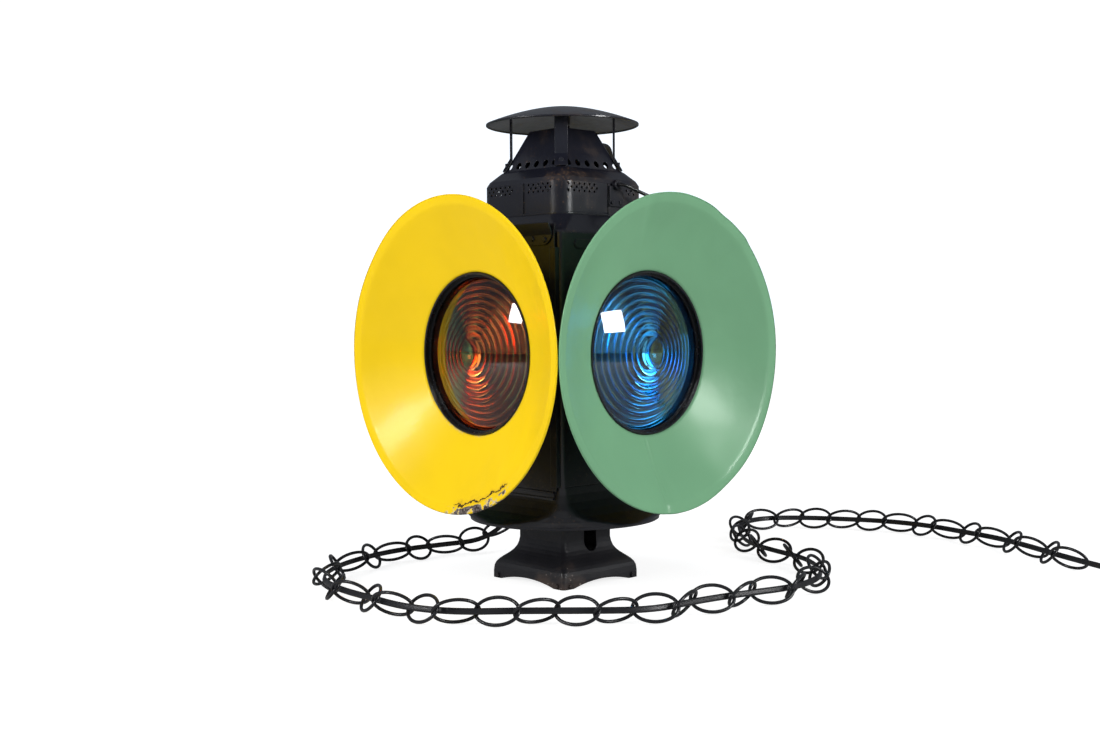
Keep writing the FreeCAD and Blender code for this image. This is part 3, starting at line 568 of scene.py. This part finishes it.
EXIT_HEIGHT = 366.0
EXIT_SLOPE = math.atan2(37.3 - 21.6, 381.0 - 346.5)
EXIT_WAY = Vector((math.cos(EXIT_SLOPE), 0, math.sin(EXIT_SLOPE)))
EXIT = Vector((37.3 - (EXIT_HEIGHT - 346.5) * math.tan(EXIT_SLOPE), 4, EXIT_HEIGHT))
LIE = 11.2
ROUTE = [tuple(EXIT + EXIT_WAY * 5.0), tuple(EXIT + EXIT_WAY * 21),
         (66, 7, 373), (74, 16, 354), (75, 31, 328), (75, 47, 300), (80, 61, 278),
         (86, 77, 255), (90, 87, 222), (90, 89, 180), (87, 91, 138), (79, 98, 100),
         (66, 110, 64), (50, 124, 34), (28, 139, LIE + 1), (-14, 152, LIE), (-62, 158, LIE),
         (-110, 147, LIE), (-154, 126, LIE), (-188, 93, LIE), (-202, 49, LIE),
         (-204, 3, LIE), (-206, -44, LIE), (-190, -83, LIE), (-154, -113, LIE),
         (-120, -147, LIE), (-84, -179, LIE), (-38, -181, LIE), (8, -189, LIE),
         (56, -202, LIE), (100, -194, LIE), (138, -167, LIE), (167, -128, LIE),
         (178, -84, LIE), (196, -41, LIE), (236, 0, LIE), (280, 36, LIE), (324, 42, LIE),
         (355, 16, LIE), (378, -22, LIE), (397, -62, LIE), (401, -108, LIE),
         (390, -153, LIE), (379, -197, LIE), (357, -240, LIE), (331, -283, LIE),
         (308, -328, LIE), (293, -376, LIE - 2), (291, -420, 5), (303, -452, 3.2)]
COIL_RADIUS = 30.0
LAYERS = 4
PER_TURN = 16


def coil_points():
    """Twelve turns: three side by side in each layer, going in and out layer by layer.

    A control point at angle t stands at radius r / cos(pi / 16), so the line's middle is at r.
    """
    cx, cy = COIL_MIDDLE[0] / MM, COIL_MIDDLE[1] / MM
    arrive = math.atan2(ROUTE[-1][1] - cy, ROUTE[-1][0] - cx)
    leave = 2 * math.pi - arrive if arrive > 0 else -arrive
    turns = LAYERS * 3
    total = 2 * math.pi * (turns - 1) + leave
    count = int(total / (2 * math.pi) * PER_TURN)
    radii = []
    for layer in range(LAYERS):
        order = (5, 0, -5) if layer % 2 == 0 else (-5, 0, 5)
        radii += [COIL_RADIUS + shift for shift in order]
    points = []
    for step in range(1, count):
        angle = arrive + total * step / count
        at = (angle - arrive) / (2 * math.pi)
        now = min(int(at), turns - 1)
        later = min(now + 1, turns - 1)
        share = max(0.0, (at - now - 0.75) / 0.25) if at > now else 0.0
        radius = radii[now] + (radii[later] - radii[now]) * share
        rise = 3.0 + 5.0 * (now // 3) + 5.0 * (later // 3 - now // 3) * share
        reach = (radius - 0.3) / math.cos(math.pi / PER_TURN)
        points.append((cx + reach * math.cos(angle), cy + reach * math.sin(angle), rise))
    return points


def lead_end_points():
    """Off the coil's top outer turn and down into the plug."""
    cx, cy = COIL_MIDDLE[0] / MM, COIL_MIDDLE[1] / MM
    top, plug = 17.7, 7.4
    drop = plug - top
    x = cx + 35.0
    return [(x, cy, top), (x - 1.5, cy + 15, top + 0.15 * drop), (x + 1.0, cy + 31, top + 0.7 * drop),
            (x + 0.5, cy + 46, plug)]


def route_line():
    """The lead's smooth centre line, read from its NURBS spline."""
    points = ROUTE + coil_points() + lead_end_points()
    curve = bpy.data.curves.new("lead_route", "CURVE")
    curve.dimensions = "3D"
    curve.resolution_u = 6
    spline = curve.splines.new("NURBS")
    spline.points.add(len(points) - 1)
    for item, place in zip(spline.points, points):
        item.co = (place[0] * MM, place[1] * MM, place[2] * MM, 1)
    spline.order_u = 3
    spline.use_endpoint_u = True
    holder = bpy.data.objects.new("lead_route", curve)
    bpy.context.scene.collection.objects.link(holder)
    bpy.context.view_layer.update()
    mesh = bpy.data.meshes.new_from_object(holder)
    line = np.empty(len(mesh.vertices) * 3, np.float32)
    mesh.vertices.foreach_get("co", line)
    bpy.data.objects.remove(holder)
    bpy.data.meshes.remove(mesh)
    return line.reshape(-1, 3).astype(float)


def carried_frames(line, first):
    """Directions along a line and across it, each across carried on from the one before."""
    way = np.gradient(line, axis=0)
    way /= np.linalg.norm(way, axis=1, keepdims=True)
    across = np.empty_like(way)
    last = np.asarray(first, float)
    for index in range(len(way)):
        last = last - way[index] * np.dot(last, way[index])
        last = last / np.linalg.norm(last)
        across[index] = last
    return way, across, np.cross(way, across)


class SWITCHLAMP_OT_lead(bpy.types.Operator):
    """Flat twin lead along its route, with its spare length coiled"""
    bl_idname = "switchlamp.lead"
    bl_label = "Lead"

    def execute(self, context):
        line = route_line()
        way, across, up = carried_frames(line[::-1], (1, 0, 0))
        way, across, up = way[::-1], across[::-1], up[::-1]
        size = sizes()
        turn = np.linspace(0, 2 * math.pi, 16, endpoint=False)
        lobe = 1 - 0.26 * np.abs(np.sin(turn)) ** 6
        wide = size.cord / 2 * np.cos(turn)
        thick = size.cord_thick / 2 * np.sin(turn) * lobe
        points = (line[None] + wide[:, None, None] * across[None] + thick[:, None, None] * up[None])
        ends = np.repeat(line[None, [0, -1]], len(turn), axis=0)
        points = np.concatenate([ends[:, :1], points, ends[:, 1:]], axis=1)
        piece = grid_mesh("lead_cord", points, True, False)
        rubber = plain("cord_rubber", (0.010, 0.010, 0.012), 0.42, 0.0, 900, 0.00008, 0.2)
        finish(piece, rubber, "lamp", "cord_pvc", "lead", "coil", "lead_end")
        return {"FINISHED"}


def separate_solids(mesh):
    """A mesh's points, solid by solid: each point takes the least label that its edges reach."""
    flat = np.empty(len(mesh.vertices) * 3, np.float32)
    mesh.vertices.foreach_get("co", flat)
    points = flat.reshape(-1, 3).astype(float)
    ends = np.empty(len(mesh.edges) * 2, np.int32)
    mesh.edges.foreach_get("vertices", ends)
    _, weld = np.unique(np.round(points / WELD).astype(np.int64), axis=0, return_inverse=True)
    weld = weld.reshape(-1)
    first, second = weld[ends.reshape(-1, 2)].T
    label = np.arange(weld.max() + 1)
    while True:
        low = np.minimum(label[first], label[second])
        lower = label.copy()
        np.minimum.at(lower, first, low)
        np.minimum.at(lower, second, low)
        lower = lower[lower]
        if (lower == label).all():
            break
        label = lower
    owner = label[weld]
    return [points[owner == one] for one in np.unique(owner)]


def link_axes(points):
    """Centre of one link, its long, short and thin axes, its half sizes and its wire's radius."""
    middle_point = points.mean(axis=0)
    _, _, axes = np.linalg.svd(points - middle_point, full_matrices=False)
    spread = (points - middle_point) @ axes.T
    low, high = spread.min(axis=0), spread.max(axis=0)
    centre = middle_point + ((low + high) / 2) @ axes
    reach, width, wire = (high - low) / 2
    return centre, axes, reach - wire, width - wire, wire


def chain_piece(node, name):
    """Smooth oval links where the CAD's links are: (a cos t, b sin t) swept by a round wire."""
    around = np.linspace(0, 2 * math.pi, 56, endpoint=False)
    turn = np.linspace(0, 2 * math.pi, 12, endpoint=False)
    corners = []
    for group in separate_solids(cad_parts[node].data):
        centre, (along, across, thin), a, b, wire = link_axes(group)
        line = a * np.cos(around)[:, None] * along + b * np.sin(around)[:, None] * across
        outward = b * np.cos(around)[:, None] * along + a * np.sin(around)[:, None] * across
        outward /= np.linalg.norm(outward, axis=1, keepdims=True)
        ring = wire * (np.cos(turn)[None, :, None] * outward[:, None]
                       + np.sin(turn)[None, :, None] * thin)
        corners.append(centre + line[:, None] + ring)
    whole = np.stack(corners)
    index = np.arange(whole[..., 0].size).reshape(whole.shape[:3])
    next_u = np.roll(index, -1, axis=1)
    quads = np.stack([index, next_u, np.roll(next_u, -1, axis=2), np.roll(index, -1, axis=2)], axis=-1)
    mesh = bpy.data.meshes.new(name)
    mesh.from_pydata(whole.reshape(-1, 3).tolist(), [], quads.reshape(-1, 4).tolist())
    mesh.shade_smooth()
    piece = bpy.data.objects.new(name, mesh)
    bpy.context.scene.collection.objects.link(piece)
    return piece


class SWITCHLAMP_OT_chain(bpy.types.Operator):
    """Swag chain of oval links, its eye, the bail and the plug"""
    bl_idname = "switchlamp.chain"
    bl_label = "Chain and plug"

    def execute(self, context):
        steel = plain("chain_steel", (0.010, 0.010, 0.012), 0.30, 0.0, 500, 0.00010, 0.3)
        for node in CHAIN_NODES:
            finish(chain_piece(node, "swag_" + node), steel, "lamp", "black_chain", node)
        recoat(steel, "chain_eye", "bail")
        recoat(plain("plug_plastic", (0.015, 0.015, 0.016), 0.38, 0.0, 500, 0.0001, 0.1, 0.0006),
               "plug_body")
        recoat(plain("plug_brass", (0.70, 0.52, 0.25), 0.25, 1.0, 300, 0.00005, 0.1, 0.0003),
               "plug_pins")
        recoat(plain("bush_rubber", (0.014, 0.014, 0.015), 0.55, 0.0, 500, 0.0001, 0.1, 0.0005),
               "grommet")
        return {"FINISHED"}


# ------------------------------------------------------------------ targets and lenses

def dent(angles, radius, at, width, depth, start, end):
    """A shallow radial crease: a bell across the angle times a smooth rise along the radius."""
    across = np.arctan2(np.sin(angles - math.radians(at)), np.cos(angles - math.radians(at)))
    bell = np.exp(-(across / math.radians(width)) ** 2)
    share = np.clip((radius - start) / (end - start), 0, 1)
    return -depth * bell * share * share * (3 - 2 * share)


TARGET_DENTS = {
    "south": [(102, 3.0, 1.5 * MM), (88, 7.0, -1.2 * MM), (62, 5.0, 1.8 * MM), (48, 3.0, -1.0 * MM),
              (-91, 2.0, -0.6 * MM), (-60, 9.0, 1.0 * MM)],
    "west": [(-70, 6.0, -1.0 * MM), (-63, 4.0, 0.8 * MM), (140, 14.0, 0.8 * MM)],
    "east": [(35, 5.0, 1.2 * MM), (-120, 3.0, 0.9 * MM)],
    "north": [(150, 4.0, 1.0 * MM), (-40, 7.0, 1.1 * MM)],
}


class SWITCHLAMP_OT_targets(bpy.types.Operator):
    """Enamelled day targets with rolled rims and small dents"""
    bl_idname = "switchlamp.targets"
    bl_label = "Targets"

    def execute(self, context):
        size = sizes()
        tint = colours()
        yellow = tuple(tint.yellow)
        green = tuple(tint.green)
        coats = {
            "west": enamel("yellow_enamel_chipped", yellow, tuple(c * 0.93 for c in yellow), "west"),
            "east": enamel("yellow_enamel", yellow, tuple(c * 0.93 for c in yellow)),
            "south": enamel("green_enamel", green, tuple(c * 0.92 for c in green)),
        }
        coats["north"] = coats["south"]
        for side in SIDE_TURN:
            self.target(side, size, coats[side])
        return {"FINISHED"}

    def target(self, side, size, coat):
        inner = TARGET_INNER
        low = TARGET_LOW
        roll = size.rim_roll
        lip_start = TARGET_R - roll - size.lip
        cone_high = TARGET_RIM - RIM_UNDER - LIP_RISE
        share = np.linspace(0, 1, 26)
        cone_r = inner + (lip_start - inner) * share
        cone_x = low + (cone_high - low) * (share - 0.05 * np.sin(math.pi * share))
        lip = np.linspace(0, 1, 7)[1:]
        lip_r = lip_start + size.lip * lip
        lip_x = cone_high + LIP_RISE * (1 - (1 - lip) ** 1.3) * 0.9
        centre = (TARGET_R - roll, lip_x[-1] - roll * 0.6)
        edge = arc(centre, roll, 80, -150, 12)
        front = np.stack([np.concatenate([cone_r, lip_r]), np.concatenate([cone_x, lip_x])], axis=-1)
        back = front[::-1].copy()
        back[:, 1] -= size.sheet
        back[:, 0] = np.minimum(back[:, 0] + 0.3 * MM, TARGET_R - 2 * roll)
        collar = np.array([(inner + 0.3 * MM, low - 1.4 * MM), (inner - 0.1 * MM, low - 1.2 * MM),
                           (inner - 0.15 * MM, low - 0.4 * MM)])
        profile = np.concatenate([front, edge, back, collar])[::-1]
        dents = TARGET_DENTS[side]

        def press(angles, radius):
            moved = np.zeros(np.broadcast(angles, radius).shape)
            for at, width, depth in dents:
                moved = moved + dent(angles, radius, at, width, depth, 0.078, 0.118)
            if side == "south":
                moved = moved + dent(angles, radius, -95, 0.9, 0.9 * MM, 0.067, 0.074)
            ripple = 0.22 * MM * np.sin(3 * angles + 1.1) + 0.14 * MM * np.sin(7 * angles + 0.4)
            return moved + ripple * np.clip((radius - 0.09) / 0.03, 0, 1)

        piece = lathe("day_target_" + side, side, profile, 480, press, math.radians(50))
        finish(piece, coat, SIDE_BODY[side], SIDE_COLOUR[side] + "_enamel", "target_" + side)


class SWITCHLAMP_OT_lenses(bpy.types.Operator):
    """Stepped glass lenses with their retaining rings"""
    bl_idname = "switchlamp.lenses"
    bl_label = "Lenses"

    def execute(self, context):
        tint = colours()
        glass = {
            "yellow": coloured_glass("amber_lens_glass", tuple(tint.amber)),
            "green": coloured_glass("blue_lens_glass", tuple(tint.blue)),
        }
        bezel = plain("ring_black", (0.010, 0.010, 0.012), 0.26, 0.0, 260, 0.0001, 0.3, 0.0004)
        for side in SIDE_TURN:
            colour = SIDE_COLOUR[side]
            self.lens(side, glass[colour], "amber_glass" if colour == "yellow" else "blue_glass")
            recoat(bezel, "ring_" + side)
        return {"FINISHED"}

    def lens(self, side, glass, slot):
        """Dome: distance out = plane + dome height - R + sqrt(R^2 - r^2). Rings: teeth behind it."""
        size = sizes()
        edge_r = LENS_EDGE
        plane = LENS_FRONT - LENS_DOME
        height = LENS_DOME
        curve = (size.sight ** 2 + height ** 2) / (2 * height)
        r = np.linspace(0.05 * MM, size.sight, 40)
        dome = np.stack([r, plane + height - curve + np.sqrt(curve ** 2 - r ** 2)], axis=-1)
        edge = np.array([(edge_r, plane)])
        teeth = []
        first = 61.5 * MM
        last = 13.0 * MM
        width = (first - last) / size.rings

        def skin(radius):
            return plane + height - curve + math.sqrt(curve ** 2 - radius ** 2)

        for ring in range(size.rings):
            outer = first - ring * width
            teeth.append((outer, skin(outer) - 4.4 * MM))
            teeth.append((outer - 0.35 * width, skin(outer) - 5.4 * MM))
            teeth.append((outer - width + 0.4 * MM, skin(outer) - 8.6 * MM))
        boss = np.linspace(last - 0.2 * MM, 0.05 * MM, 8)
        bulge = np.stack([boss, skin(last) - 4.4 * MM - 5.0 * MM * (1 - (boss / last) ** 2)], axis=-1)
        back = np.array([(edge_r, plane - 5.0 * MM), (size.sight, plane - 5.0 * MM)])
        profile = np.concatenate([dome, edge, back, np.array(teeth), bulge])[::-1]
        piece = lathe("stepped_lens_" + side, side, profile, 160, None, math.radians(28))
        finish(piece, glass, SIDE_BODY[side], slot, "lens_" + side)


# ------------------------------------------------------------------ metalwork

class SWITCHLAMP_OT_metalwork(bpy.types.Operator):
    """Black paint on the case, top, door and foot"""
    bl_idname = "switchlamp.metalwork"
    bl_label = "Metalwork"

    def execute(self, context):
        case = black_paint("case_paint", 0.0012, 0.5)
        top = black_paint("top_paint", 0.0010, 0.9, 1.0)
        recoat(case, "case_shell", "door_guide_left", "door_guide_right", "door_panel", "door_flap",
               "door_rivets", "skirt", "pan_floor", "holder_bracket")
        recoat(case, *["barrel_" + side for side in SIDE_TURN])
        recoat(top, "dome", "cone", "cap", "shoulder", "bail_ears",
               *["strut_%d" % (n + 1) for n in range(4)])
        recoat(black_cast("foot_paint"), "base_socket", "foot_rivets")
        return {"FINISHED"}


class SWITCHLAMP_OT_lampholder(bpy.types.Operator):
    """Lampholder and bulb inside the case"""
    bl_idname = "switchlamp.lampholder"
    bl_label = "Lampholder"

    def execute(self, context):
        recoat(plain("holder_brass", (0.62, 0.44, 0.20), 0.28, 1.0, 220, 0.0001, 0.2, 0.0005),
               "holder_shell", "bulb_base")
        recoat(plain("holder_insulator", (0.02, 0.02, 0.02), 0.5, 0.0, 300, 0.0001, 0.1, 0.0004),
               "holder_core", "holder_key")
        clear = Finish("bulb_clear")
        clear.set(Base_Color=(0.95, 0.95, 0.93), Roughness=0.02, Transmission_Weight=1.0, IOR=1.3)
        recoat(clear.material, "bulb_glass")
        return {"FINISHED"}


class SWITCHLAMP_PT_panel(bpy.types.Panel):
    """Sizes, colours and pieces of the switch lamp"""
    bl_idname = "SWITCHLAMP_PT_panel"
    bl_label = "Switch lamp"
    bl_space_type = "VIEW_3D"
    bl_region_type = "UI"
    bl_category = "Switch lamp"

    def draw(self, context):
        for group in (context.scene.switch_lamp_sizes, context.scene.switch_lamp_colours):
            for key in type(group).__annotations__:
                self.layout.prop(group, key)
        for step in STEPS:
            self.layout.operator("switchlamp." + step)


STEPS = ("stage", "chain", "lead", "targets", "lenses", "metalwork", "lampholder")
CLASSES = (SwitchLampSizes, SwitchLampColours, SWITCHLAMP_OT_stage, SWITCHLAMP_OT_lead,
           SWITCHLAMP_OT_chain, SWITCHLAMP_OT_targets, SWITCHLAMP_OT_lenses,
           SWITCHLAMP_OT_metalwork, SWITCHLAMP_OT_lampholder, SWITCHLAMP_PT_panel)


def register():
    for item in CLASSES:
        bpy.utils.register_class(item)
    bpy.types.Scene.switch_lamp_sizes = bpy.props.PointerProperty(type=SwitchLampSizes)
    bpy.types.Scene.switch_lamp_colours = bpy.props.PointerProperty(type=SwitchLampColours)


def unregister():
    del bpy.types.Scene.switch_lamp_colours
    del bpy.types.Scene.switch_lamp_sizes
    for item in reversed(CLASSES):
        bpy.utils.unregister_class(item)


def main():
    register()
    for step in STEPS:
        getattr(bpy.ops.switchlamp, step)()


if __name__ == "__main__":
    main()
